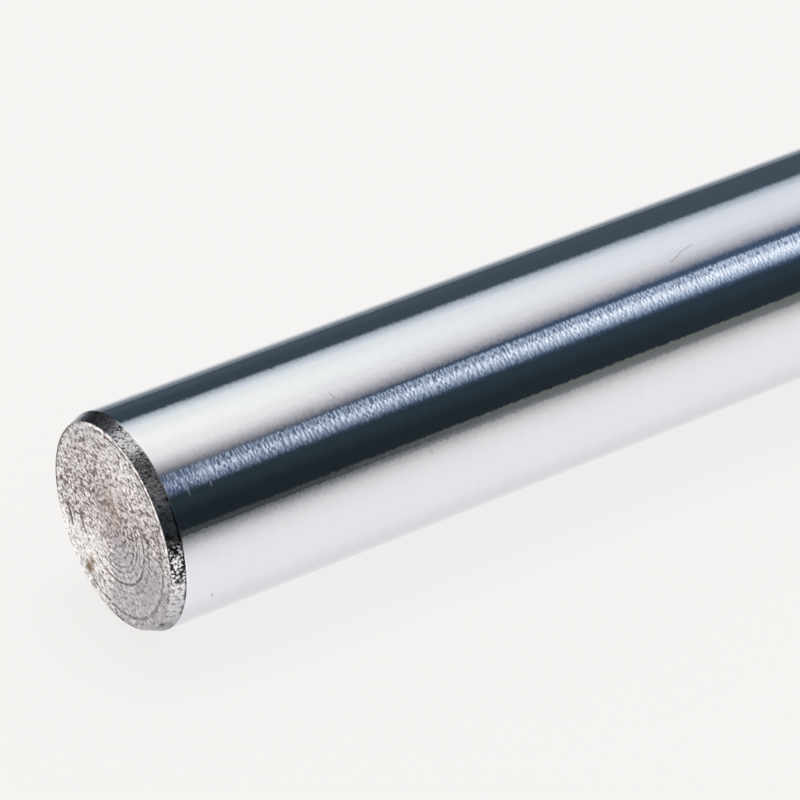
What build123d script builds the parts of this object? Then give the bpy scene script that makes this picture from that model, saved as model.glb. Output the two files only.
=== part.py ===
"""Linear shaft: a straight length of hardened steel round bar, ground all over its diameter.

It is one solid piece. Linear bushings run on the ground diameter, and shaft supports clamp it near
the ends. Each end is cut square and turned down in a long shallow lead-in chamfer, which lets the
shaft enter a bushing without catching its balls or seals. The two edges of each chamfer are broken
by a very small radius.

The shaft lies along X with its axis on the origin and its middle at X = 0. All sizes are in
millimetres and degrees.
"""

import os
from math import radians, tan

from build123d import *

# Driving dimensions
SHAFT_DIAMETER = 30.0  # ground running diameter
SHAFT_LENGTH = 300.0  # over both end faces
CHAMFER_LENGTH = 2.0  # along the axis
CHAMFER_ANGLE = 22.5  # between the chamfer and the axis
OUTER_EDGE_RADIUS = 0.2  # where the chamfer meets the ground diameter
INNER_EDGE_RADIUS = 0.1  # where the chamfer meets the end face

# Worked out from them
shaft_radius = SHAFT_DIAMETER / 2
half_length = SHAFT_LENGTH / 2
face_radius = shaft_radius - CHAMFER_LENGTH * tan(radians(CHAMFER_ANGLE))


def shaft_profile():
    """Half of the shaft's lengthwise section, from the axis out, on the XY plane."""
    corners = [
        (-half_length, 0),
        (-half_length, face_radius),
        (-half_length + CHAMFER_LENGTH, shaft_radius),
        (half_length - CHAMFER_LENGTH, shaft_radius),
        (half_length, face_radius),
        (half_length, 0),
    ]
    with BuildSketch(Plane.XY) as section:
        with BuildLine():
            Polyline(*corners, close=True)
        make_face()
        outer_corners = section.vertices().group_by(Axis.Y)[-1]
        fillet(outer_corners, radius=OUTER_EDGE_RADIUS)
        face_corners = section.vertices().filter_by(on_end_face_edge)
        fillet(face_corners, radius=INNER_EDGE_RADIUS)
    return section.sketch


def on_end_face_edge(vertex):
    """True for a corner of the section where an end face meets its chamfer."""
    at_end = abs(abs(vertex.X) - half_length) < 1e-6
    return at_end and abs(vertex.Y - face_radius) < 1e-6


def make_shaft():
    """The whole shaft: its half section turned once round its axis."""
    shaft = revolve(shaft_profile(), axis=Axis.X)
    shaft.label = "shaft"
    return shaft


os.makedirs("parts", exist_ok=True)
export_step(make_shaft(), "parts/shaft.step")
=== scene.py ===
"""Looks of the linear shaft: its ground diameter, its two cut ends, the studio round it and the camera.

Everything is in metres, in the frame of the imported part: the shaft lies along X with its axis on the
origin, and +Z is up. The near end is the one at -X. Marks on the steel are given in millimetres.
"""

from math import atan2, cos, degrees, exp, hypot, pi, radians, sin, tan

import bpy
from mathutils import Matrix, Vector, noise


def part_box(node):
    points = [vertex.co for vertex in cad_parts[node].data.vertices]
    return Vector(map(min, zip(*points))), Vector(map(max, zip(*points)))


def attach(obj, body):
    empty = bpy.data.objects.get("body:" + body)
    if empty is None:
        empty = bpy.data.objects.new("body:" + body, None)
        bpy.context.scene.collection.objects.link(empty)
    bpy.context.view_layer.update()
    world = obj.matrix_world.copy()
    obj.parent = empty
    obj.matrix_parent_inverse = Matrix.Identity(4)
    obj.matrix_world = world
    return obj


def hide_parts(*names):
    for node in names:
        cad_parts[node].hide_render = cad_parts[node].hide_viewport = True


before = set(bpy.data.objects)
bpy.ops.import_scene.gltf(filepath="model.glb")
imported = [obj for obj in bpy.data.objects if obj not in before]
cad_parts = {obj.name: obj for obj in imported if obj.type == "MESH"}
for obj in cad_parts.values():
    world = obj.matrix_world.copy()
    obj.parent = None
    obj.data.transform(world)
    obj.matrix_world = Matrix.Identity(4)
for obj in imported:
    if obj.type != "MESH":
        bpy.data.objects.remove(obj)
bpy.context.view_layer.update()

MM = 0.001

# Sizes of the shaft that the frame's box doesn't give
CHAMFER_LENGTH = 2.0 * MM
CHAMFER_ANGLE = radians(22.5)  # between the chamfer and the axis
OUTER_EDGE_RADIUS = 0.2 * MM
INNER_EDGE_RADIUS = 0.1 * MM

low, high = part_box("shaft")
HALF_LENGTH = high.x
RADIUS = high.y
FACE_RADIUS = RADIUS - CHAMFER_LENGTH * tan(CHAMFER_ANGLE)

DOT_SIZE, DOT_RIM = 0.45, 0.22  # range of a dot's size and its soft rim, in units of its place


class Shader:
    """A node tree, with one short method for each kind of node that the looks use."""

    def __init__(self, tree):
        self.tree = tree
        tree.nodes.clear()

    def node(self, kind, **settings):
        made = self.tree.nodes.new(kind)
        for name, value in settings.items():
            setattr(made, name, value)
        return made

    def feed(self, socket, value):
        """Links an output to the socket, or sets the socket to a number or a colour."""
        if isinstance(value, bpy.types.NodeSocket):
            self.tree.links.new(value, socket)
        elif isinstance(value, tuple) and socket.type == "RGBA":
            socket.default_value = (*value, 1.0)
        else:
            socket.default_value = value

    def math(self, operation, *values):
        made = self.node("ShaderNodeMath", operation=operation)
        for socket, value in zip(made.inputs, values):
            self.feed(socket, value)
        return made.outputs[0]

    def add(self, *values):
        total = values[0]
        for value in values[1:]:
            total = self.math("ADD", total, value)
        return total

    def times(self, *values):
        total = values[0]
        for value in values[1:]:
            total = self.math("MULTIPLY", total, value)
        return total

    def less(self, value, taken):
        return self.math("SUBTRACT", value, taken)

    def clamp(self, value):
        return self.math("MINIMUM", self.math("MAXIMUM", value, 0.0), 1.0)

    def vector(self, operation, *values):
        made = self.node("ShaderNodeVectorMath", operation=operation)
        for socket, value in zip(made.inputs, values):
            self.feed(socket, value)
        return made.outputs["Value" if operation in ("DOT_PRODUCT", "DISTANCE") else "Vector"]

    def split(self, vector):
        made = self.node("ShaderNodeSeparateXYZ")
        self.feed(made.inputs[0], vector)
        return made.outputs

    def rise(self, value, start, end, kind="SMOOTHSTEP"):
        """0 at start, 1 at end, and in between smooth, or straight with the kind LINEAR."""
        made = self.node("ShaderNodeMapRange", interpolation_type=kind)
        values = (value, start, end, 0.0, 1.0) if start < end else (value, end, start, 1.0, 0.0)
        for socket, given in zip(made.inputs, values):
            self.feed(socket, given)
        return made.outputs[0]

    def mix(self, share, first, second):
        made = self.node("ShaderNodeMix", data_type="RGBA")
        self.feed(made.inputs["Factor"], share)
        self.feed(made.inputs[6], first)
        self.feed(made.inputs[7], second)
        return made.outputs[2]

    def noise(self, place, scale=1.0, detail=2.0, roughness=0.5):
        made = self.node("ShaderNodeTexNoise")
        self.feed(made.inputs["Vector"], place)
        made.inputs["Scale"].default_value = scale
        made.inputs["Detail"].default_value = detail
        made.inputs["Roughness"].default_value = roughness
        return made.outputs["Fac"]

    def chance(self, *numbers):
        """A random value from 0 to 1 for each pair of whole numbers."""
        pair = self.node("ShaderNodeCombineXYZ")
        for socket, number in zip(pair.inputs, numbers):
            self.feed(socket, number)
        made = self.node("ShaderNodeTexWhiteNoise", noise_dimensions="2D")
        self.feed(made.inputs["Vector"], pair.outputs[0])
        return made.outputs["Value"]

    def dots(self, place):
        """Soft round dots of random size, 0 to 1, about one for each unit of place."""
        made = self.node("ShaderNodeTexVoronoi", feature="F1")
        self.feed(made.inputs["Vector"], place)
        made.inputs["Scale"].default_value = 1.0
        size = self.split(made.outputs["Color"])[0]
        distance = self.less(made.outputs["Distance"], self.times(size, DOT_SIZE))
        return self.rise(distance, DOT_RIM, 0.0)

    def painted(self, name):
        """A value that the mesh holds at each of its points."""
        return self.node("ShaderNodeAttribute", attribute_name=name).outputs["Fac"]


# Camera, at the photograph's viewing angle
CAMERA_PLACE = (-0.40545, -0.44256, 0.36648)
CAMERA_TURN = 34.14  # degrees from +Y towards +X
CAMERA_DIP = 34.24  # degrees below level
LENS, SENSOR = 220.0, 36.0  # millimetres
CLIP = (0.01, 50.0)


def make_camera():
    data = bpy.data.cameras.new("camera")
    data.lens = LENS
    data.sensor_width = SENSOR
    data.clip_start, data.clip_end = CLIP
    camera = bpy.data.objects.new("camera", data)
    camera.location = CAMERA_PLACE
    camera.rotation_euler = (radians(90.0 - CAMERA_DIP), 0.0, radians(-CAMERA_TURN))
    bpy.context.scene.collection.objects.link(camera)
    bpy.context.scene.camera = camera


# The studio that the steel mirrors. A bearing is an angle round the shaft in degrees, from level at
# +Y over the top to level at -Y. Reach is how far a direction leans towards +X, from -1 to 1. A pair
# of numbers says where a change starts and ends.
BACKGROUND = (0.925, 0.908, 0.891)
PLAIN_LEVEL = (0.62, 0.62, 0.62)
AHEAD_REACH = (0.43, 0.53)  # the values named AHEAD hold from the second on
BESIDE_REACH = (0.30, 0.10)  # and those named BESIDE below the second

WALL = (0.048, 0.070, 0.090)
WALL_AHEAD = (0.066, 0.097, 0.127)
WALL_BESIDE = (0.024, 0.026, 0.028)
WALL_LOW = (0.072, 0.096, 0.122)
WALL_LOW_BEARING = (23.0, 9.0)
FRONT = (0.027, 0.041, 0.052)
FRONT_AHEAD = (0.030, 0.049, 0.071)
FRONT_BEARING = (60.0, 90.0)  # the wall turns into the front behind the softbox
FRONT_BESIDE = (0.151, 0.156, 0.161)
FRONT_BESIDE_BEARING = (144.0, 128.0)
FRONT_LOW = (0.015, 0.022, 0.029)
FRONT_LOW_AHEAD = (0.023, 0.034, 0.042)
FRONT_LOW_BEARING = (140.0, 158.0)
NAVY = (0.040, 0.058, 0.090)
NAVY_AHEAD = (0.070, 0.109, 0.190)
NAVY_BEARING = (138.0, 132.5)

SOFTBOX = (1.132, 1.142, 1.124)
SOFTBOX_AHEAD = (0.895, 0.92, 0.985)
SOFTBOX_START = (0.93, 1.01, 1.11)  # its upper edge is bluer, and its lower edge is warmer
SOFTBOX_START_AHEAD = (0.81, 0.91, 1.08)
SOFTBOX_START_BEARING = (61.0, 39.0)
SOFTBOX_END = (1.16, 1.12, 1.14)
SOFTBOX_END_AHEAD = (0.98, 0.95, 0.98)
SOFTBOX_END_BEARING = (78.0, 98.0)
SOFTBOX_LATE, SOFTBOX_LATER_AHEAD = 0.8, 5.0  # degrees that are taken off before its two steps
SOFTBOX_STEPS = (((32.3, 39.3), 0.46), ((35.0, 51.0), 0.54))  # bearings and share of each
SOFTBOX_EDGE = (113.5, 9.6, 28.8)  # bearing of its front edge, and what that loses ahead and beside
SOFTBOX_FADE = (24.3, 6.8, 19.5)  # degrees over which the edge fades, and what they lose
SOFTBOX_SWELL, SOFTBOX_SWELL_MORE = 0.02, 0.22  # it swells where it fades, and more so ahead
SOFTBOX_DIM, SOFTBOX_DIM_BEARING = 0.10, (74.0, 90.0)  # and ahead it dims from here on
SOFTBOX_DIPS = (  # faint dips: start, end, depth, and what that loses ahead
    ((43.0, 50.0), (68.0, 55.0), 0.085, 0.03),
    ((74.0, 88.0), (97.0, 88.0), 0.105, 0.035),
)

PANEL_DIM = (0.068, 0.080, 0.220)
PANEL_LIT = (1.27, 1.36, 1.46)
PANEL_REACH = (0.343, 0.600)  # the panel brightens evenly between these
PANEL_TINT = (0.985, 1.00, 1.03)
PANEL_EDGE_TINT = (0.76, 0.94, 1.12)  # it is bluer where it fades
PANEL_EARLIER_AHEAD = 2.5  # degrees that are added before its two steps
PANEL_FIRST, PANEL_SECOND = (110.9, 113.6), (117.2, 121.9)  # bearings of the steps
PANEL_SECOND_LATER = 0.3  # degrees that the second comes later, ahead
PANEL_FIRST_SHARE, PANEL_FIRST_MORE = 0.43, 0.18  # share of the first step, and what it gains ahead
PANEL_FADE = (134.6, 123.8)
PANEL_NEAR_EDGE = 0.16  # how much lighter its near edge is, which has this reach:
PANEL_NEAR_START, PANEL_NEAR_END = (0.400, 0.412), (0.4235, 0.4175)
PANEL_STREAKS = 470.0  # its fine streaks, in radians for each unit of reach
STREAK_DEPTH, STREAK_DEPTH_AHEAD = 0.110, 0.105  # how far in reach they brighten and dim it
STREAKS_DEEPER = 0.8  # and how much more they do along its upper edge
STREAKS_DEEPER_BEARING = (122.0, 115.0)

STRIP = (0.062, 0.070, 0.076)
STRIP_AHEAD = (0.170, 0.182, 0.178)
STRIP_AHEAD_REACH = (0.435, 0.50)
STRIP_BEARING = (168.2, 170.8)
STRIP_LOW = (0.198, 0.206, 0.214)
STRIP_LOW_BEARING = (174.6, 176.2)
FAR_FLOOR = (0.440, 0.440, 0.455)
FAR_FLOOR_BEARING = (177.0, 181.5)


def studio_walls(s, bearing, ahead, beside):
    """Colour of the wall and, on the other side of the softbox, of the front with its navy band."""
    wall = s.mix(s.rise(bearing, *WALL_LOW_BEARING), s.mix(ahead, WALL, WALL_AHEAD), WALL_LOW)
    wall = s.mix(beside, wall, WALL_BESIDE)
    low = s.mix(ahead, FRONT_LOW, FRONT_LOW_AHEAD)
    front = s.mix(s.rise(bearing, *FRONT_LOW_BEARING), s.mix(ahead, FRONT, FRONT_AHEAD), low)
    front = s.mix(s.rise(bearing, *NAVY_BEARING), front, s.mix(ahead, NAVY, NAVY_AHEAD))
    front = s.mix(s.times(beside, s.rise(bearing, *FRONT_BESIDE_BEARING)), front, FRONT_BESIDE)
    return s.mix(s.rise(bearing, *FRONT_BEARING), wall, front)


def softbox_share(s, bearing, ahead, beside):
    """How much of the softbox shows: it starts briskly, and its front edge fades slowly."""
    late = s.less(s.less(bearing, SOFTBOX_LATE), s.times(ahead, SOFTBOX_LATER_AHEAD))
    share = s.add(*(s.times(s.rise(late, *bearings), part) for bearings, part in SOFTBOX_STEPS))
    edge, width = (
        s.less(s.less(value, s.times(ahead, loss_ahead)), s.times(beside, loss_beside))
        for value, loss_ahead, loss_beside in (SOFTBOX_EDGE, SOFTBOX_FADE)
    )
    fade = s.clamp(s.math("DIVIDE", s.less(edge, bearing), width))
    swell = s.add(SOFTBOX_SWELL, s.times(ahead, SOFTBOX_SWELL_MORE))
    swell = s.add(1.0, s.times(s.less(1.0, fade), swell))
    dim = s.less(1.0, s.times(ahead, s.rise(bearing, *SOFTBOX_DIM_BEARING), SOFTBOX_DIM))
    share = s.times(share, fade, swell, dim)
    for start, end, depth, loss_ahead in SOFTBOX_DIPS:
        dip = s.times(s.rise(bearing, *start), s.rise(bearing, *end))
        share = s.times(share, s.less(1.0, s.times(dip, s.less(depth, s.times(ahead, loss_ahead)))))
    return share


def softbox_colour(s, bearing, ahead):
    """Colour of the softbox, from its bluer upper edge to its warmer lower edge."""
    colour = s.mix(ahead, SOFTBOX, SOFTBOX_AHEAD)
    start = s.mix(ahead, SOFTBOX_START, SOFTBOX_START_AHEAD)
    colour = s.mix(s.rise(bearing, *SOFTBOX_START_BEARING), colour, start)
    end = s.mix(ahead, SOFTBOX_END, SOFTBOX_END_AHEAD)
    return s.mix(s.rise(bearing, *SOFTBOX_END_BEARING), colour, end)


def panel_share(s, bearing, ahead):
    """How much of the blue panel shows: it starts in two steps and fades evenly."""
    early = s.add(bearing, s.times(ahead, PANEL_EARLIER_AHEAD))
    first = s.rise(early, *PANEL_FIRST, "LINEAR")
    second = s.rise(s.less(early, s.times(ahead, PANEL_SECOND_LATER)), *PANEL_SECOND)
    share = s.add(PANEL_FIRST_SHARE, s.times(ahead, PANEL_FIRST_MORE))
    starts = s.add(s.times(first, share), s.times(second, s.less(1.0, share)))
    return s.math("MINIMUM", starts, s.rise(s.add(bearing, ahead), *PANEL_FADE, "LINEAR"))


def panel_colour(s, bearing, reach, ahead, share):
    """Colour of the blue panel. The grains of the steel break its fine streaks up into a sparkle."""
    streak = s.math("SINE", s.times(reach, PANEL_STREAKS))
    depth = s.add(STREAK_DEPTH, s.times(ahead, STREAK_DEPTH_AHEAD - STREAK_DEPTH))
    deeper = s.add(1.0, s.times(s.rise(bearing, *STREAKS_DEEPER_BEARING), STREAKS_DEEPER))
    brightness = s.rise(s.add(reach, s.times(streak, depth, deeper)), *PANEL_REACH, "LINEAR")
    near_edge = s.times(s.rise(reach, *PANEL_NEAR_END), s.rise(reach, *PANEL_NEAR_START))
    brightness = s.add(brightness, s.times(near_edge, PANEL_NEAR_EDGE))
    colour = s.mix(brightness, PANEL_DIM, PANEL_LIT)
    return s.vector("MULTIPLY", colour, s.mix(share, PANEL_EDGE_TINT, PANEL_TINT))


def strip_colour(s, bearing, reach):
    """Colour of the grey strip above the floor's far edge."""
    colour = s.mix(s.rise(reach, *STRIP_AHEAD_REACH), STRIP, STRIP_AHEAD)
    return s.mix(s.rise(bearing, *STRIP_LOW_BEARING), colour, STRIP_LOW)


def studio(s, direction):
    """Colour of the studio above the floor, in a direction."""
    reach, across, height = s.split(direction)
    bearing = s.times(s.math("ARCTAN2", height, across), 180.0 / pi)
    ahead = s.rise(reach, *AHEAD_REACH, "LINEAR")
    beside = s.rise(reach, *BESIDE_REACH)
    not_beside = s.less(1.0, beside)

    colour = studio_walls(s, bearing, ahead, beside)
    share = softbox_share(s, bearing, ahead, beside)
    colour = s.mix(share, colour, softbox_colour(s, bearing, ahead))
    share = panel_share(s, bearing, ahead)
    panel = panel_colour(s, bearing, reach, ahead, share)
    colour = s.mix(s.times(not_beside, share), colour, panel)
    share = s.times(not_beside, s.rise(bearing, *STRIP_BEARING))
    colour = s.mix(share, colour, strip_colour(s, bearing, reach))
    return s.mix(s.times(not_beside, s.rise(bearing, *FAR_FLOOR_BEARING)), colour, FAR_FLOOR)


def make_world():
    """Pale for the camera, a plain level on the floor, and the studio for what the steel mirrors."""
    world = bpy.data.worlds.new("studio")
    world.use_nodes = True
    bpy.context.scene.world = world
    s = Shader(world.node_tree)
    direction = s.node("ShaderNodeTexCoord").outputs["Generated"]
    rays = s.node("ShaderNodeLightPath").outputs
    light = s.mix(rays["Is Glossy Ray"], PLAIN_LEVEL, studio(s, direction))
    background = s.node("ShaderNodeBackground")
    s.feed(background.inputs["Color"], s.mix(rays["Is Camera Ray"], light, BACKGROUND))
    s.tree.links.new(background.outputs[0], s.node("ShaderNodeOutputWorld").inputs["Surface"])


# The floor's light, where the steel mirrors it. Across is a place's Y, and along its X.
FLOOR_HALF = 20.0  # half the floor's side
FLOOR_GLOW = (1.10, 1.10, 1.125)
FLOOR_GLOW_FAR = (1.07, 1.10, 1.22)
FLOOR_POOL = 0.121  # how far out the floor's light has lost half of what it loses
FLOOR_REST, FLOOR_REST_AHEAD = 0.26, 0.36  # share of the floor's light that is left far out
FLOOR_AHEAD = (-0.170, -0.115)  # that share changes between these places along the shaft
FLOOR_LEAN = 0.52  # and they move ahead by this much for each metre out from the shaft
FLOOR_BACK_EDGE = (-0.005, 0.195)  # behind the shaft the lit floor ends between these
BACK_FLOOR = (0.085, 0.130, 0.180)  # what is left of its light there
BACK_FLOOR_END = (0.25, 0.75)  # and farther back it is as dark as the wall
FLOOR_BEFORE = (1.75, 1.75, 1.75)  # light of the floor before the near end, for the end face
FLOOR_BEFORE_START = (0.0, 3.0 * MM)  # it starts between these distances out from the end
FLOOR_BEFORE_END = (0.24, 0.10)  # it fades out between these
FLOOR_BEFORE_SIDE = (-0.120, -0.040)  # and towards the front between these places across
CONTACT_SHADOW = (0.018, 0.010)  # painted contact shadow: the floor's glow darkens between these distances from where the shaft lies
CONTACT_SHADOW_LOSS = 0.14
BLACK = (0.0, 0.0, 0.0)

# The floor's colour is BACKGROUND, and FLOOR_BACK where the steel mirrors it behind the shaft
FLOOR_BACK = (0.60, 0.75, 0.92)
FLOOR_BACK_START = (0.10, 0.70)
GLOW_FOR_CAMERA = 0.88  # share of the floor that glows for the camera. The rest is lit
GLOW_FOR_STEEL = 0.80  # and for the steel


def floor_glow(s):
    """Light of the floor where the steel mirrors it: it falls off with distance from the shaft, and a
    painted contact shadow darkens it along where the shaft lies.
    """
    along, across, _ = s.split(s.node("ShaderNodeNewGeometry").outputs["Position"])
    distance = s.math("DIVIDE", s.math("MINIMUM", across, 0.0), FLOOR_POOL)
    ahead = s.rise(s.add(along, s.times(across, FLOOR_LEAN)), *FLOOR_AHEAD)
    rest = s.add(FLOOR_REST, s.times(ahead, FLOOR_REST_AHEAD - FLOOR_REST))
    pool = s.math("DIVIDE", s.less(1.0, rest), s.add(1.0, s.times(distance, distance)))
    # painted contact shadow in the floor's glow, along where the shaft lies
    contact_shadow = s.times(s.rise(s.math("ABSOLUTE", across), *CONTACT_SHADOW), CONTACT_SHADOW_LOSS)
    glow = s.mix(s.add(pool, ahead), FLOOR_GLOW_FAR, FLOOR_GLOW)
    lit = s.mix(s.less(s.add(pool, rest), contact_shadow), BLACK, glow)
    behind = s.mix(s.rise(across, *BACK_FLOOR_END), BACK_FLOOR, WALL)
    lit = s.mix(s.rise(across, *FLOOR_BACK_EDGE), lit, behind)
    out = s.less(-HALF_LENGTH, along)
    before = s.times(s.rise(out, *FLOOR_BEFORE_START), s.rise(out, *FLOOR_BEFORE_END))
    before = s.times(before, s.rise(across, *FLOOR_BEFORE_SIDE))
    return s.mix(before, lit, FLOOR_BEFORE)


def floor_material():
    """Pale and nearly even for the camera, with a soft shadow, and floor_glow for the steel."""
    material = bpy.data.materials.new("floor")
    material.use_nodes = True
    s = Shader(material.node_tree)
    rays = s.node("ShaderNodeLightPath").outputs
    glow = s.node("ShaderNodeEmission")
    s.feed(glow.inputs["Color"], s.mix(rays["Is Camera Ray"], floor_glow(s), BACKGROUND))
    plain = s.node("ShaderNodeBsdfDiffuse")
    across = s.split(s.node("ShaderNodeNewGeometry").outputs["Position"])[1]
    back = s.times(rays["Is Glossy Ray"], s.rise(across, *FLOOR_BACK_START))
    s.feed(plain.inputs["Color"], s.mix(back, BACKGROUND, FLOOR_BACK))
    for_camera = s.times(rays["Is Camera Ray"], GLOW_FOR_CAMERA)
    for_steel = s.times(rays["Is Glossy Ray"], GLOW_FOR_STEEL)
    blend = s.node("ShaderNodeMixShader")
    s.feed(blend.inputs[0], s.add(for_camera, for_steel))
    s.tree.links.new(plain.outputs[0], blend.inputs[1])
    s.tree.links.new(glow.outputs[0], blend.inputs[2])
    s.tree.links.new(blend.outputs[0], s.node("ShaderNodeOutputMaterial").inputs["Surface"])
    return material


def make_floor():
    """A plain pale floor, which keeps a soft shadow of the shaft."""
    turns = ((-1, -1), (1, -1), (1, 1), (-1, 1))
    corners = [(FLOOR_HALF * x, FLOOR_HALF * y, low.z) for x, y in turns]
    mesh = bpy.data.meshes.new("floor")
    mesh.from_pydata(corners, [], [(0, 1, 2, 3)])
    mesh.materials.append(floor_material())
    floor = bpy.data.objects.new("floor", mesh)
    bpy.context.scene.collection.objects.link(floor)


LAMP_PLACE = (0.3, 0.4, 1.6)
LAMP_SIZE = 1.2
LAMP_POWER = 12.0  # watts


def make_lamp():
    """One large soft lamp overhead, for the shadow. The steel mirrors the studio instead."""
    data = bpy.data.lights.new("lamp", "AREA")
    data.shape = "DISK"
    data.size = LAMP_SIZE
    data.energy = LAMP_POWER
    lamp = bpy.data.objects.new("lamp", data)
    lamp.location = LAMP_PLACE
    lamp.rotation_euler = lamp.location.to_track_quat("Z", "Y").to_euler()
    lamp.visible_camera = False
    lamp.visible_glossy = False
    bpy.context.scene.collection.objects.link(lamp)


def principled(name):
    """A new metal material, with its shader and its Principled node."""
    material = bpy.data.materials.new(name)
    material.use_nodes = True
    s = Shader(material.node_tree)
    metal = s.node("ShaderNodeBsdfPrincipled")
    metal.inputs["Metallic"].default_value = 1.0
    s.tree.links.new(metal.outputs[0], s.node("ShaderNodeOutputMaterial").inputs["Surface"])
    return material, s, metal


def bump(s, metal, height, rise):
    """Raises the surface by height, from 0 to 1, times rise."""
    made = s.node("ShaderNodeBump")
    made.inputs["Distance"].default_value = rise
    s.feed(made.inputs["Height"], height)
    s.tree.links.new(made.outputs[0], metal.inputs["Normal"])


def lean(s, metal, place, along, round_it):
    """Leans the surface by a slope along the shaft and one round it, as the grinding marks do."""
    _, y, z = s.split(place)
    slope = s.node("ShaderNodeCombineXYZ")
    s.feed(slope.inputs["X"], along)
    s.feed(slope.inputs["Y"], s.times(z, round_it, -1.0 / RADIUS))
    s.feed(slope.inputs["Z"], s.times(y, round_it, 1.0 / RADIUS))
    turned = s.node("ShaderNodeVectorTransform", vector_type="VECTOR")
    turned.convert_from, turned.convert_to = "OBJECT", "WORLD"
    s.feed(turned.inputs[0], slope.outputs[0])
    facing = s.node("ShaderNodeNewGeometry").outputs["Normal"]
    leaning = s.vector("NORMALIZE", s.vector("ADD", facing, turned.outputs[0]))
    s.tree.links.new(leaning, metal.inputs["Normal"])


# Nicks and scratches on the ground diameter: where each starts and ends, as millimetres from the near
# end and bearing in degrees, and half its width in millimetres. A nick's darkness is painted shade in the
# steel's colour, and a scratch is dull.
NICKS = (
    ((29.1, 116.5), (29.35, 120.5), 0.08),
    ((84.05, 115.7), (86.4, 112.2), 0.08),
    ((86.4, 112.2), (88.5, 110.3), 0.06),
    ((83.15, 127.5), (83.15, 130.0), 0.16),
    ((83.9, 130.5), (83.95, 132.5), 0.13),
    ((67.1, 137.0), (67.1, 138.2), 0.15),
    ((61.75, 69.5), (61.75, 71.1), 0.15),
    ((38.9, 65.5), (38.9, 67.1), 0.15),
    ((6.03, -162.1), (6.03, -160.9), 0.18),
)
SCRATCHES = (
    ((4.9, 130.8), (4.9, 139.9), 0.09),
    ((8.2, 137.0), (8.2, 139.2), 0.10),
    ((39.9, 162.2), (39.9, 164.6), 0.10),
    ((84.5, -167.0), (85.8, -151.0), 0.09),
    ((84.45, 115.9), (88.7, 110.8), 0.07),
)


MARK_OUTER, MARK_INNER = 1.4, 0.5  # a mark fades between these shares of its half width


def marked(s, unrolled, marks):
    """1 on the marks and 0 off them, at a place on the unrolled surface."""
    share = 0.0
    for start, end, half_width in marks:
        first, last = (Vector((along, radians(turn) * RADIUS / MM, 0.0)) for along, turn in (start, end))
        line = last - first
        out = s.vector("SUBTRACT", unrolled, tuple(first))
        reached = s.clamp(s.vector("DOT_PRODUCT", out, tuple(line / line.length_squared)))
        gap = s.vector("DISTANCE", out, s.vector("MULTIPLY", tuple(line), reached))
        outer, inner = MARK_OUTER * half_width, MARK_INNER * half_width
        share = s.math("MAXIMUM", share, s.rise(gap, outer, inner))
    return share


# The three finishes. Grains are numbers for a metre along, across and up: the higher, the finer.
MARK_PITCH = 0.52  # millimetres along the shaft from one grinding mark to the next
MARK_LENGTH = 0.44  # millimetres round the shaft
MARK_SLOPE = 0.0067  # range of the slopes that the marks have
MARK_WANDER = 2.0  # how far the marks stray along the shaft, in marks
MARK_WANDER_GRAIN = (600.0, 260.0, 260.0)
MARK_SHIFT = 50.0  # each line of marks is turned round the shaft by up to this many marks
FACET_SLOPE = 0.00334  # between the two facets of a mark
FACET_TURN = 0.012  # range of their slopes round the shaft
HAIR_SLOPE = 0.002  # range of the slopes of the hair-fine marks
HAIR_GRAIN = (5200.0, 650.0, 650.0)
MEAN_SLOPE = 0.006  # what is taken off, so that the slopes are level on the whole

STEEL_DARKER, STEEL_LIGHTER = (0.757, 0.765, 0.776), (0.769, 0.775, 0.784)
STEEL_GRAIN = (900.0, 110.0, 110.0)
# Painted shade of the nicks: their dark colour, and how much of it shows
NICK_SHADE, NICK_SHADE_SHARE = (0.06, 0.06, 0.07), 0.40
GROUND_ROUGHNESS, GROUND_ROUGHER, SCRATCH_ROUGHER = 0.030, 0.01, 0.35

# The chamfer's colour runs from painted shade to painted light, by the tone painted at each bearing
CHAMFER_SHADED, CHAMFER_LIT = (0.155, 0.155, 0.153), (1.0, 0.962, 0.982)
CHAMFER_PIT = (0.014, 0.014, 0.012)
CHAMFER_GRAIN = 6000.0
CHAMFER_GRAIN_DARK = 0.30  # how much its grain darkens it
CHAMFER_ROUGHNESS, CHAMFER_ROUGHER = 0.13, 0.12
CHAMFER_BUMP = 0.008 * MM

FACE_DARK, FACE_LIGHT = (0.425, 0.403, 0.432), (0.95, 0.92, 0.90)
FACE_BROWN, FACE_RUST = (0.39, 0.30, 0.27), (0.15, 0.10, 0.045)
FACE_PIT, FACE_CREST = (0.105, 0.078, 0.070), (0.98, 0.95, 0.94)
FACE_GRAIN = 4600.0
FACE_SPECKLE = (3300.0, 2000.0, 3300.0)
FACE_DOTS = (2600.0, 1550.0, 2600.0)
FACE_GRAIN_DARK, FACE_SPECKS_DARK, FACE_SPECKS_LIGHT = 0.25, 0.85, 0.32
FACE_ROUGHNESS, FACE_ROUGHER = 0.40, 0.15
FACE_BUMP = 0.012 * MM


def grinding_marks(s, place, unrolled):
    """Slopes of the fine grinding marks, along the shaft and round it. Each mark has two facets."""
    along, turn, _ = s.split(unrolled)
    wander = s.noise(s.vector("MULTIPLY", place, MARK_WANDER_GRAIN))
    column = s.add(s.times(along, 1.0 / MARK_PITCH), s.times(wander, MARK_WANDER))
    number = s.math("FLOOR", column)
    shift = s.times(s.chance(number, 0.5), MARK_SHIFT)
    row = s.math("FLOOR", s.add(s.times(turn, 1.0 / MARK_LENGTH), shift, wander))
    slope = s.times(s.chance(number, row), MARK_SLOPE)
    second = s.math("GREATER_THAN", s.less(column, number), 0.5)
    facet = s.chance(s.add(number, s.times(second, 0.5)), s.add(row, 0.5))
    round_it = s.times(s.less(facet, 0.5), FACET_TURN)
    hair = s.noise(s.vector("MULTIPLY", place, HAIR_GRAIN), detail=1.0)
    slope = s.add(slope, s.times(second, FACET_SLOPE), s.times(hair, HAIR_SLOPE), -MEAN_SLOPE)
    return slope, round_it


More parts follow.
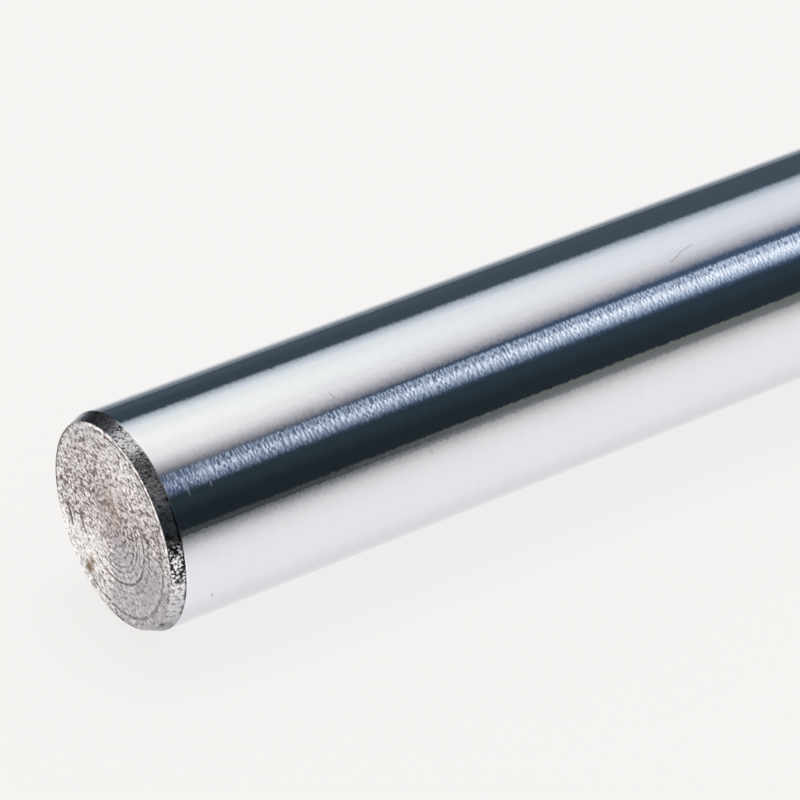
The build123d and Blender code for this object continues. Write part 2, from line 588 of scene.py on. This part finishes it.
def ground_steel():
    """The ground diameter: bright, with short fine grinding marks that run round it, and a few nicks."""
    material, s, metal = principled("ground_steel")
    place = s.node("ShaderNodeTexCoord").outputs["Object"]
    x, y, z = s.split(place)
    joined = s.node("ShaderNodeCombineXYZ")
    s.feed(joined.inputs["X"], s.times(s.add(x, HALF_LENGTH), 1.0 / MM))
    s.feed(joined.inputs["Y"], s.times(s.math("ARCTAN2", z, y), RADIUS / MM))
    unrolled = joined.outputs[0]
    lean(s, metal, place, *grinding_marks(s, place, unrolled))
    grain = s.noise(s.vector("MULTIPLY", place, STEEL_GRAIN))
    steel = s.mix(s.rise(grain, 0.3, 0.7), STEEL_DARKER, STEEL_LIGHTER)
    # painted shade on the nicks, in the steel's colour
    nick_shade = s.times(marked(s, unrolled, NICKS), NICK_SHADE_SHARE)
    s.feed(metal.inputs["Base Color"], s.mix(nick_shade, steel, NICK_SHADE))
    scratch = s.times(marked(s, unrolled, SCRATCHES), SCRATCH_ROUGHER)
    rougher = s.times(grain, GROUND_ROUGHER)
    s.feed(metal.inputs["Roughness"], s.add(GROUND_ROUGHNESS, rougher, scratch))
    return material


def chamfer_steel():
    """The lead-in chamfer: rough turned, stained and pitted, with the light and shade that it mirrors
    painted into its colour.
    """
    material, s, metal = principled("chamfer_steel")
    place = s.node("ShaderNodeTexCoord").outputs["Object"]
    grain = s.noise(place, scale=CHAMFER_GRAIN, roughness=0.6)
    grain_dark = s.times(s.rise(grain, 0.55, 0.35), CHAMFER_GRAIN_DARK)
    dark = s.math("MINIMUM", s.add(s.painted("pit"), grain_dark), 1.0)
    # Painted light and shade: the chamfer's tone by bearing, between its shaded and lit colours
    colour_and_light = s.mix(s.painted("tone_and_light"), CHAMFER_SHADED, CHAMFER_LIT)
    s.feed(metal.inputs["Base Color"], s.mix(dark, colour_and_light, CHAMFER_PIT))
    s.feed(metal.inputs["Roughness"], s.add(CHAMFER_ROUGHNESS, s.times(grain, CHAMFER_ROUGHER)))
    bump(s, metal, grain, CHAMFER_BUMP)
    return material


def cut_face():
    """An end face: matt, pinkish grey, with dark pits, brown stains and rubbed places, and a painted
    highlight along the raised lip at its edge.
    """
    material, s, metal = principled("cut_face")
    place = s.node("ShaderNodeTexCoord").outputs["Object"]
    grain = s.noise(place, scale=FACE_GRAIN, detail=3.0, roughness=0.65)
    speckle = s.noise(s.vector("MULTIPLY", place, FACE_SPECKLE), roughness=0.6)
    dots = s.dots(s.vector("MULTIPLY", place, FACE_DOTS))
    # The face's tone, with the lip's painted highlight in it
    colour_and_light = s.mix(s.painted("tone_and_light"), FACE_DARK, FACE_LIGHT)
    colour_and_light = s.mix(s.painted("brown"), colour_and_light, FACE_BROWN)
    crest = s.times(s.rise(speckle, 0.50, 0.70), s.painted("speck"), FACE_SPECKS_LIGHT)
    colour_and_light = s.mix(crest, colour_and_light, FACE_CREST)
    specks = s.math("MAXIMUM", dots, s.rise(speckle, 0.44, 0.36))
    specks = s.times(specks, s.painted("speck"), FACE_SPECKS_DARK)
    grain_dark = s.times(s.rise(grain, 0.58, 0.36), FACE_GRAIN_DARK)
    steel = s.mix(s.clamp(s.add(s.painted("pit"), specks, grain_dark)), colour_and_light, FACE_PIT)
    s.feed(metal.inputs["Base Color"], s.mix(s.painted("rust"), steel, FACE_RUST))
    s.feed(metal.inputs["Roughness"], s.add(FACE_ROUGHNESS, s.times(grain, FACE_ROUGHER)))
    bump(s, metal, grain, FACE_BUMP)
    return material


def step(value, start, end):
    """0 at start, 1 at end, and smooth between them. End may be below start."""
    share = clamped((value - start) / (end - start))
    return share * share * (3.0 - 2.0 * share)


def clamped(value):
    """The value, held between 0 and 1."""
    return min(max(value, 0.0), 1.0)


def hump(value, middle, width):
    """1 at the middle, falling off smoothly on both sides."""
    return exp(-((value - middle) / width) ** 2)


def near_to(right, up, middle, size):
    """1 at the middle of a spot on the face, falling off smoothly by the spot's size."""
    return hump(hypot(right - middle[0], up - middle[1]), 0.0, size)


def on_arc(turn, starts, ends):
    """1 on an arc and 0 off it. It starts and ends softly, between the degrees of each pair."""
    turn = (turn - starts[0]) % 360.0 + starts[0]
    return step(turn, *starts) * step(turn, *ends)


def lumps(place, size, octaves=2):
    """Smooth random value from about -1 to 1, with lumps of this size in millimetres."""
    return 1.6 * noise.fractal(place / size, 1.0, 2.0, octaves)


def along_points(value, points):
    """What the points say at a value, straight between them. Each is (value, what it says)."""
    for (start, first), (end, last) in zip(points, points[1:]):
        if value < end:
            return first + (last - first) * max((value - start) / (end - start), 0.0)
    return points[-1][1]


def dots(place, spacing, least, most, chance):
    """Soft round dots, 0 to 1, with radii from least to most. Each is kept by this chance."""
    distances, points = noise.voronoi(place / spacing)
    luck = 0.5 + 0.5 * noise.cell(points[0] * 9.7)
    size = least + (most - least) * (0.5 + 0.5 * noise.cell(points[0] * 23.1))
    return step(distances[0] * spacing, size, 0.35 * size) * step(luck, chance + 0.05, chance - 0.05)


def off_line(place, start, end):
    """(distance to the line from start to end, how far along it from 0 to 1)."""
    line, reach = Vector(end) - Vector(start), Vector(place) - Vector(start)
    share = clamped(reach.dot(line) / line.length_squared)
    return (reach - line * share).length, share


# Marks on the near end face, seen from outside: (right, up) in millimetres from the shaft's axis
GRAIN_WIDTH = 1.60  # the grain of the cut is this much wider than it is tall
SMOOTH_UP, SMOOTH_RIGHT = (2.5, -2.0), (-2.2, 1.0)  # the smooth area is low and right of these
BRIGHT_UP, BRIGHT_RIGHT = (-1.0, -6.0), (0.5, -2.0)  # the bright one is low and left of these
BRIGHT_SIDE, BRIGHT_BOTTOM = (-14.5, -9.0), (-7.5, -12.5)  # and it fades at the left and below
MARGIN_MIDDLE, MARGIN = (-0.3, -0.4), (12.1, 12.8)  # the calmer edge lies outside this radius
MARGIN_BOTTOM = (-1.5, -5.0)  # where it is calmer still
ROUGH_SPOT = ((0.0, 2.5), 5.0)  # middle and size of the roughest place
RUBBED_SPOT = ((2.6, 8.0), 4.0)
TONE_SPOTS = (  # middle, size, what it adds to the tone
    ((2.6, 7.8), 4.2, 0.52),
    ((-7.0, 11.0), 4.5, -0.22),
    ((9.6, -4.4), 3.6, -0.24),
)
RING_MIDDLE = (-0.2, -0.3)
RING_CLEAREST = -40.0  # degrees from the right, over the top, where the rings are clearest
RING_CLEAR = (78.0, 54.0)  # they become clear between these degrees off it
RING_LEAST = 0.20  # how clear they are elsewhere
RINGS = (  # radius, half width, darkness
    (12.5, 0.22, 0.55),
    (9.1, 0.18, 0.35),
    (7.9, 0.17, 1.2),
    (6.9, 0.14, 0.30),
    (6.2, 0.16, 0.60),
    (5.5, 0.16, 0.55),
    (4.3, 0.16, 0.40),
    (3.3, 0.16, 0.45),
)
STAIN_MIDDLE, STAIN_SIZE = (0.2, 2.2), 3.4
RUST_SPOTS = (  # middle, size, strength
    ((-6.4, -10.3), 0.62, 1.3),
    ((-5.5, -8.8), 0.50, 0.85),
    ((-5.9, -9.7), 1.2, 0.25),
)
# Painted light and shade of the chamfer round the end, as its tone at bearings in degrees from level at
# the back, over the top
CHAMFER_PAINTED_LIGHT = (
    (56, 0.22), (60, 0.0), (66, 0.0), (73, 0.85), (78, 1.0), (82, 0.75), (85, 0.18), (90, 0.38),
    (95, 0.62), (107, 0.60), (110, 0.38), (114, 0.42), (119, 0.92), (123, 0.82), (130, 0.98), (140, 0.88),
    (144, 0.70), (150, 1.0), (153, 0.95), (156, 0.10), (160, 0.50), (163, 0.98), (173, 0.78),
    (178, 0.66), (182, 0.82), (186, 0.55), (190, 0.61), (206, 0.56), (214, 0.46), (221, 0.13),
    (228, 0.0), (236, 0.0),
)
GOUGES = (  # start, end, half width, darkness
    ((-11.2, -3.0), (-10.3, -5.6), 0.42, 1.15),
    ((-8.4, -2.4), (-7.0, -5.0), 0.27, 0.9),
    ((-13.2, 0.3), (-10.2, 0.25), 0.22, 0.9),
    ((7.65, 0.8), (7.2, 1.7), 0.13, 0.8),
    ((7.2, 1.7), (6.3, 1.8), 0.12, 0.7),
    ((6.3, 1.8), (5.0, 1.1), 0.12, 0.6),
    ((-2.1, -6.1), (-1.7, -6.6), 0.22, 0.7),
    ((8.7, 3.1), (9.0, 2.1), 0.28, 1.25),
    ((4.7, 3.6), (7.4, 3.1), 0.16, 0.6),
    ((7.4, 3.1), (8.8, 2.5), 0.20, 0.8),
    ((2.0, 7.5), (3.7, 6.8), 0.10, 0.6),
    ((3.7, 6.8), (5.7, 5.4), 0.11, 0.7),
    ((5.7, 5.4), (7.0, 4.1), 0.12, 0.8),
    ((7.0, 4.1), (8.8, 2.6), 0.13, 0.9),
)
# Marks along the face's edge: distance in, half width, strength, degrees where it starts and ends
RIM_GROOVES = (
    (0.78, 0.22, 1.0, (10.0, 35.0), (118.0, 100.0)),
    (1.45, 0.20, 0.55, (25.0, 45.0), (82.0, 70.0)),
)
# The lips are raised, and also painted lighter: a painted highlight along them
RIM_LIPS = (
    (0.30, 0.22, 1.0, (-10.0, 20.0), (126.0, 106.0)),
    (1.12, 0.16, 0.6, (25.0, 45.0), (80.0, 68.0)),
)
RIM_SHADES = (  # how far in from the edge it is dark, strength, start and end
    (0.34, 0.8, (118.0, 138.0), (204.0, 190.0)),
    (0.26, 0.35, (-125.0, -110.0), (-60.0, -80.0)),
)
RIM_SHADE_FULL = 0.12  # up to this far in it is full
RIM_PITS_ARC = ((-52.0, -40.0), (30.0, 5.0))
RIM_PITS_GAP = (1.1, 0.7)

# Pits: spacing, least and most radius in millimetres, and the chance that one is kept
COARSE_PITS = (0.72, 0.17, 0.36, 0.72)
SMALL_PITS = (0.48, 0.13, 0.30, 0.90)
RIM_PITS = (0.6, 0.16, 0.34, 0.75)
CHAMFER_PITS = (0.85, 0.2, 0.45, 0.7)
CHAMFER_SPECKS = (0.42, 0.12, 0.27, 0.8)
# These keep pits and lumps of different kinds apart
SMALL_SHIFT, FINE_SHIFT = Vector((7.0, 0.0, 30.0)), Vector((0.0, 9.0, 60.0))
CHAMFER_FINE_SHIFT, WORM_SHIFT = Vector((0.0, 25.0, 0.0)), Vector((40.0, 0.0, 0.0))

# Degrees of bearing where parts of the chamfer start and end
SPECKS_ARC = ((80.0, 90.0), (136.0, 122.0))
INNER_DARK_ARC = ((125.0, 150.0), (218.0, 200.0))
CLEANER_ARC = ((192.0, 200.0), (330.0, 300.0))
WORMS_START, WORMS_END = (156.0, 161.0), (185.5, 179.0)
STREAK_BEARING, STREAK_WIDTH = 61.0, 4.0
STAIN_BEARING, STAIN_WIDTH = 219.5, 2.6
UNEVEN_SPOTS = ((115.0, 7.0, 1.9), (130.0, 8.0, 0.8))  # bearing, width, how uneven the tone is there
PLAIN_CALM = 0.7  # how calm the far end's face is
TURNING_PITCH = 0.7  # millimetres between its grooves
FULL_DEPTH_TO = 0.85  # the chamfer's marks are full deep up to this share of its length


class EndFinish:
    """How one end was cut: the depth, darkness and stains of its face and of its chamfer."""

    def __init__(self, seed, worn):
        self.seed, self.worn = seed, worn

    def rings(self, spot, right, up):
        """(grooves that turning left, the light crests beside them), each 0 to 1."""
        out_right, out_up = right - RING_MIDDLE[0], up - RING_MIDDLE[1]
        radius = hypot(out_right, out_up) + 0.07 * lumps(spot, 1.3) + 0.03 * lumps(spot, 0.4, 1)
        off_clearest = abs(degrees(atan2(out_up, out_right)) - RING_CLEAREST)
        clear = RING_LEAST + (1.0 - RING_LEAST) * step(off_clearest, *RING_CLEAR)
        clear *= clamped(0.85 + 0.5 * lumps(spot, 1.1))
        groove = crest = 0.0
        for ring, half_width, darkness in RINGS:
            inside = hump(radius, ring - 2.2 * half_width, half_width)
            outside = hump(radius, ring + 2.0 * half_width, half_width)
            groove += clear * darkness * hump(radius, ring, half_width)
            crest += clear * darkness * (inside + 0.6 * outside)
        return min(1.25 * groove, 1.0), min(crest, 1.0)

    def rim(self, spot, right, up):
        """(groove, lip) near the face's edge, each 0 to 1. The lip is raised, and also painted lighter as
        a painted highlight.
        """
        gap = FACE_RADIUS / MM - hypot(right, up) + 0.10 * lumps(spot, 1.2)
        turn = degrees(atan2(up, right))
        broken = clamped(0.80 + 0.8 * lumps(spot, 0.5))
        uneven = clamped(0.72 + 1.1 * lumps(spot, 0.55))
        groove = dots(spot, *RIM_PITS) * step(gap, *RIM_PITS_GAP) * on_arc(turn, *RIM_PITS_ARC)
        for middle, half_width, strength, starts, ends in RIM_GROOVES:
            groove += strength * broken * hump(gap, middle, half_width) * on_arc(turn, starts, ends)
        for depth, strength, starts, ends in RIM_SHADES:
            groove += strength * step(gap, depth, RIM_SHADE_FULL) * on_arc(turn, starts, ends)
        lip_and_highlight = 0.0
        for kept, (middle, half_width, strength, starts, ends) in zip((uneven, broken), RIM_LIPS):
            lip_and_highlight += strength * kept * hump(gap, middle, half_width) * on_arc(turn, starts, ends)
        return min(groove, 1.0), min(lip_and_highlight, 1.0)

    def pits(self, spot, calm):
        """(darkness of the pits and of the mottle between them, how light the crests are), 0 to 1."""
        coarse = dots(spot, *COARSE_PITS)
        small = dots(spot + SMALL_SHIFT, *SMALL_PITS)
        mottle = lumps(spot, 0.42)
        fine = lumps(spot + FINE_SHIFT, 0.22, 1)
        dark = (1.0 - calm) * (0.90 * coarse + 0.75 * small + 0.30 * step(mottle, 0.0, 0.8))
        dark += (0.30 - 0.08 * calm) * step(fine, 0.0, 0.7) + 0.20 * calm * step(mottle, 0.0, 0.8)
        crest = step(mottle, -0.1, -0.8) + 0.5 * step(fine, -0.1, -0.7)
        return min(dark, 1.0), (1.0 - 0.6 * calm) * crest

    def areas(self, spot, right, up):
        """(smooth, bright, margin): how much a place belongs to each area of the worn face, 0 to 1."""
        wander = 0.8 * lumps(spot, 2.5) + 0.35 * lumps(spot, 0.8)
        smooth = step(up + wander, *SMOOTH_UP) * step(right + 0.6 * wander, *SMOOTH_RIGHT)
        bright = step(up + wander, *BRIGHT_UP) * step(right + wander, *BRIGHT_RIGHT)
        bright *= step(right, *BRIGHT_SIDE) * (1.0 - 0.42 * step(up, *BRIGHT_BOTTOM))
        radius = hypot(right - MARGIN_MIDDLE[0], up - MARGIN_MIDDLE[1])
        return smooth, bright, step(radius + 0.3 * lumps(spot, 1.6), *MARGIN)

    def gouges(self, spot, right, up):
        """How much the gouges cut at a place. 1 is the middle of an ordinary one."""
        uneven = 1.0 + 0.4 * lumps(spot, 0.5)
        total = 0.0
        for start, end, half_width, darkness in GOUGES:
            distance, share = off_line((right, up), start, end)
            width = half_width * (1.0 - 0.5 * abs(2 * share - 1)) * uneven
            if width > 0:
                total += darkness * step(distance, 1.5 * width, 0.4 * width)
        return total

    def plain_face(self, spot, right, up):
        """What face says, for a freshly turned face with fine grooves and a few light pits."""
        groove = max(cos(2 * pi * hypot(right, up) / TURNING_PITCH), 0.0) ** 3
        pit, crest = self.pits(spot, PLAIN_CALM)
        depth = 0.015 + 0.012 * groove + 0.02 * pit
        return depth, 0.8 * pit + 0.25 * groove, 0.1, 0.6 + 0.2 * crest, 0.0, 0.3

    def face(self, right, up):
        """(depth in millimetres, darkness, brown, tone with the lip's painted highlight, rust, specks) of
        a place on the face.
        """
        spot = Vector((right / GRAIN_WIDTH, up, self.seed))
        if not self.worn:
            return self.plain_face(spot, right, up)
        smooth, bright, margin = self.areas(spot, right, up)
        calm_margin = margin * max(0.40, 0.68 * step(up, *MARGIN_BOTTOM))
        calm = max(0.80 * smooth, 0.72 * bright, calm_margin)
        calm -= 0.45 * near_to(right, up, *ROUGH_SPOT)
        calm = max(calm, 0.62 * near_to(right, up, *RUBBED_SPOT))
        pit, crest = self.pits(spot, calm)
        groove, ring_crest = self.rings(spot, right, up)
        edge_groove, lip_and_highlight = self.rim(spot, right, up)
        gouge = self.gouges(spot, right, up)

        depth = 0.022 + 0.010 * lumps(spot, 0.7) + 0.035 * pit + 0.022 * groove + 0.06 * gouge
        depth = (depth + 0.04 * edge_groove) * (1.0 - 0.7 * lip_and_highlight)
        dark = (pit + 0.85 * groove + 0.85 * gouge) * (1.0 - lip_and_highlight) + 0.8 * edge_groove
        stain = hypot(right - STAIN_MIDDLE[0], 0.8 * (up - STAIN_MIDDLE[1]))
        stain = hump(stain, 0.0, STAIN_SIZE)
        brown = 0.20 * (1.0 - smooth) * (1.0 - 0.8 * margin) + stain * (0.62 + 0.55 * lumps(spot, 0.8))
        rust = 0.0
        for middle, size, strength in RUST_SPOTS:
            away = hypot(right - middle[0], up - middle[1]) + 0.12 * lumps(spot, 0.5)
            rust += strength * hump(away, 0.0, size)
        # the lip is raised, and its lighter tone here is a painted highlight
        tone_and_light = 0.50 + 0.48 * bright - 0.48 * smooth + 0.55 * lip_and_highlight + 0.10 * lumps(spot, 1.5)
        tone_and_light += sum(added * near_to(right, up, middle, size) for middle, size, added in TONE_SPOTS)
        tone_and_light -= 0.12 * step(right, 5.5, 8.5) * (1.0 - smooth)
        left = step(right, -3.0, -8.0) * step(up, 4.0, -1.0)
        tone_and_light += left * (0.04 * margin + 0.14 * (1.0 - bright)) + 0.16 * step(up, -11.0, -13.5)
        tone_and_light += 0.28 * crest + 0.50 * ring_crest - 0.12 * stain
        speck = (0.92 - 0.60 * calm) * (1.0 + 0.4 * lumps(spot, 2.0)) * (1.0 - lip_and_highlight)
        keep = step(FACE_RADIUS / MM - hypot(right, up), 0.03, 0.25)
        shares = (clamped(share) for share in (dark, brown, tone_and_light, rust, speck))
        return max(depth, 0.0) * keep, *shares

    def chamfer(self, turn, inset):
        """(depth in millimetres, darkness, tone with painted light and shade) of a place on the chamfer,
        which is inset this far.
        """
        spot = Vector((cos(turn) * RADIUS / MM, sin(turn) * RADIUS / MM, inset + self.seed))
        grain = lumps(spot, 0.30)
        patch = lumps(spot, 2.2)
        fine = lumps(spot + CHAMFER_FINE_SHIFT, 0.27)
        pit = 0.35 * step(lumps(spot, 0.45) + 0.3 * patch, 0.0, 0.7) + 0.5 * dots(spot, *CHAMFER_PITS)
        if not self.worn:
            return 0.006 + 0.02 * pit, 0.4 * pit, 0.75
        bearing = degrees(turn) % 360.0
        specks = dots(spot, *CHAMFER_SPECKS) + 0.7 * step(fine, 0.25, 0.55)
        pit += on_arc(bearing, *SPECKS_ARC) * (specks - 0.6 * pit)
        pit += 0.5 * hump(bearing, STREAK_BEARING, STREAK_WIDTH)
        worms = step(bearing + 1.5 * patch, *WORMS_START) * step(bearing + 2.0 * patch, *WORMS_END)
        ridge = 1.0 - min(abs(lumps(spot + WORM_SHIFT, 0.52)) * 2.0, 1.0)
        pit += worms * (step(ridge + 0.30 * fine, 0.02, 0.22) - pit)
        pit += step(inset + 0.15 * patch, 1.60, 1.85) * on_arc(bearing, *INNER_DARK_ARC)
        pit *= 1.0 - 0.35 * on_arc(bearing, *CLEANER_ARC)
        stain = hump(bearing, STAIN_BEARING, STAIN_WIDTH) * step(inset + 0.3 * grain, 1.5, 0.5)
        pit += 1.6 * stain * step(lumps(spot, 0.6), -0.35, 0.25)
        uneven = 0.45 + sum(more * hump(bearing, place, width) for place, width, more in UNEVEN_SPOTS)
        # Painted light and shade round the chamfer, by bearing, made uneven by noise
        tone_and_light = along_points(bearing + 0.8 * patch + 1.2 * grain, CHAMFER_PAINTED_LIGHT)
        tone_and_light = tone_and_light * (1.0 + uneven * fine) + 0.08 * patch
        return 0.006 + 0.006 * grain + 0.026 * min(pit, 1.0), min(pit, 1.0), clamped(tone_and_light)


GROUND, CHAMFER, FACE = range(3)  # the mesh's material slots
PAINTED = ("pit", "brown", "tone_and_light", "rust", "speck")  # what each of the mesh's points holds

# Points round an end, rings down its chamfer, and the gap between its face's rings
NEAR_MESH = (640, 16, 0.12 * MM)
FAR_MESH = (320, 8, 0.2 * MM)
BODY_RINGS = 30
OUTER_EDGE_STEPS, INNER_EDGE_STEPS = 4, 3
FEWEST_POINTS = 40  # a ring near the middle of a face isn't halved below this
NEAR_SEED, FAR_SEED = 3.0, 77.0


def end_profile(chamfer_rings, face_ring_gap):
    """(distance in from the end, radius, slot) of each ring, from the ground diameter to the middle."""
    outer_cut = OUTER_EDGE_RADIUS * tan(CHAMFER_ANGLE / 2)
    inner_turn = pi / 2 - CHAMFER_ANGLE
    inner_cut = INNER_EDGE_RADIUS * tan(inner_turn / 2)
    rings = []
    for i in range(OUTER_EDGE_STEPS + 1):
        turn = CHAMFER_ANGLE * i / OUTER_EDGE_STEPS
        inset = CHAMFER_LENGTH + outer_cut - OUTER_EDGE_RADIUS * sin(turn)
        rings.append((inset, RADIUS - OUTER_EDGE_RADIUS * (1 - cos(turn)), GROUND))
    start_inset, start_radius, _ = rings[-1]
    end_inset = inner_cut * cos(CHAMFER_ANGLE)
    end_radius = FACE_RADIUS + inner_cut * sin(CHAMFER_ANGLE)
    for i in range(1, chamfer_rings + 1):
        share = i / chamfer_rings
        inset = start_inset + (end_inset - start_inset) * share
        rings.append((inset, start_radius + (end_radius - start_radius) * share, CHAMFER))
    for i in range(1, INNER_EDGE_STEPS + 1):
        turn = CHAMFER_ANGLE + inner_turn * i / INNER_EDGE_STEPS
        radius = FACE_RADIUS - inner_cut + INNER_EDGE_RADIUS * cos(turn)
        rings.append((INNER_EDGE_RADIUS * (1 - sin(turn)), radius, FACE))
    radius = rings[-1][1]
    count = round(radius / face_ring_gap)
    rings += [(0.0, radius * (1 - i / count), FACE) for i in range(1, count)]
    return rings


class ShaftMesh:
    """Collects the mesh's points with what is painted on them, and the faces between its rings."""

    def __init__(self):
        self.points, self.paint = [], []
        self.faces, self.slots = [], []

    def point(self, x, y, z, pit=0.0, brown=0.0, tone_and_light=1.0, rust=0.0, speck=0.0):
        self.points.append((x, y, z))
        self.paint.append((pit, brown, tone_and_light, rust, speck))

    def ring(self, x, radius, count):
        """A plain ring of points. Returns the first one's number and how many there are."""
        first = len(self.points)
        for i in range(count):
            turn = 2 * pi * i / count
            self.point(x, radius * cos(turn), radius * sin(turn))
        return first, count

    def end_ring(self, side, inset, radius, slot, count, finish):
        """A ring of an end, cut back by its finish. Side is -1 or 1."""
        if slot == GROUND:
            return self.ring(side * (HALF_LENGTH - inset), radius, count)
        first = len(self.points)
        for i in range(count):
            turn = 2 * pi * i / count
            y, z = radius * cos(turn), radius * sin(turn)
            if slot == CHAMFER:
                depth, pit, tone_and_light = finish.chamfer(turn, inset / MM)
                depth *= MM * step(inset, CHAMFER_LENGTH, FULL_DEPTH_TO * CHAMFER_LENGTH)
                inward = depth * cos(CHAMFER_ANGLE) / radius
                x = side * (HALF_LENGTH - inset - depth * sin(CHAMFER_ANGLE))
                self.point(x, y * (1 - inward), z * (1 - inward), pit, 0.0, tone_and_light)
            else:
                depth, *paint = finish.face(side * y / MM, z / MM)
                self.point(side * (HALF_LENGTH - inset - depth * MM), y, z, *paint)
        return first, count

    def join(self, one, two, slot):
        """Faces between two rings. The second may have half as many points as the first."""
        (a, m), (b, n) = one, two
        for i in range(n):
            k = (i + 1) % n
            if m == n:
                self.add((a + i, a + k, b + k, b + i), slot)
            else:
                c, d, e = a + 2 * i, a + 2 * i + 1, a + 2 * k
                self.add((c, d, b + i), slot)
                self.add((d, b + k, b + i), slot)
                self.add((d, e, b + k), slot)

    def add(self, face, slot):
        self.faces.append(face)
        self.slots.append(slot)

    def turn_over(self, start):
        """Turns the faces made since start, so that they look outwards."""
        self.faces[start:] = [face[::-1] for face in self.faces[start:]]

    def end(self, side, segments, chamfer_rings, face_ring_gap, finish):
        """One end, from the ground diameter to the middle of the face. Returns its outermost ring."""
        first_face = len(self.faces)
        count, halve_below = segments, RADIUS / 2
        outermost = last = None
        for inset, radius, slot in end_profile(chamfer_rings, face_ring_gap):
            if radius < halve_below and count > FEWEST_POINTS:
                count, halve_below = count // 2, halve_below / 2
            made = self.end_ring(side, inset, radius, slot, count, finish)
            if last:
                self.join(last, made, slot)
            outermost, last = outermost or made, made
        depth, *paint = finish.face(0.0, 0.0)
        middle = len(self.points)
        self.point(side * (HALF_LENGTH - depth * MM), 0.0, 0.0, *paint)
        for i in range(count):
            self.add((last[0] + i, last[0] + (i + 1) % count, middle), FACE)
        if side < 0:
            self.turn_over(first_face)
        return outermost

    def body(self, near, far, rings):
        """The ground diameter, between the two ends' outermost rings."""
        near_x, far_x = self.points[near[0]][0], self.points[far[0]][0]
        last = near
        for i in range(1, rings):
            made = self.ring(near_x + (far_x - near_x) * i / rings, RADIUS, far[1])
            self.join(last, made, GROUND)
            last = made
        self.join(last, far, GROUND)

    def mesh(self, name):
        made = bpy.data.meshes.new(name)
        made.from_pydata(self.points, [], self.faces)
        made.polygons.foreach_set("material_index", self.slots)
        made.shade_smooth()
        for label, values in zip(PAINTED, zip(*self.paint)):
            made.attributes.new(label, "FLOAT", "POINT").data.foreach_set("value", values)
        return made


def make_shaft():
    """The shaft as one closed mesh with its three finishes."""
    build = ShaftMesh()
    near = build.end(-1, *NEAR_MESH, EndFinish(NEAR_SEED, worn=True))
    far = build.end(1, *FAR_MESH, EndFinish(FAR_SEED, worn=False))
    build.body(near, far, BODY_RINGS)
    mesh = build.mesh("shaft_surface")
    for material in (ground_steel(), chamfer_steel(), cut_face()):
        mesh.materials.append(material)
    shaft = bpy.data.objects.new("shaft_surface", mesh)
    bpy.context.scene.collection.objects.link(shaft)
    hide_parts("shaft")
    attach(shaft, "root")


bpy.context.scene.view_settings.view_transform = "Standard"
make_camera()
make_world()
make_floor()
make_lamp()
make_shaft()
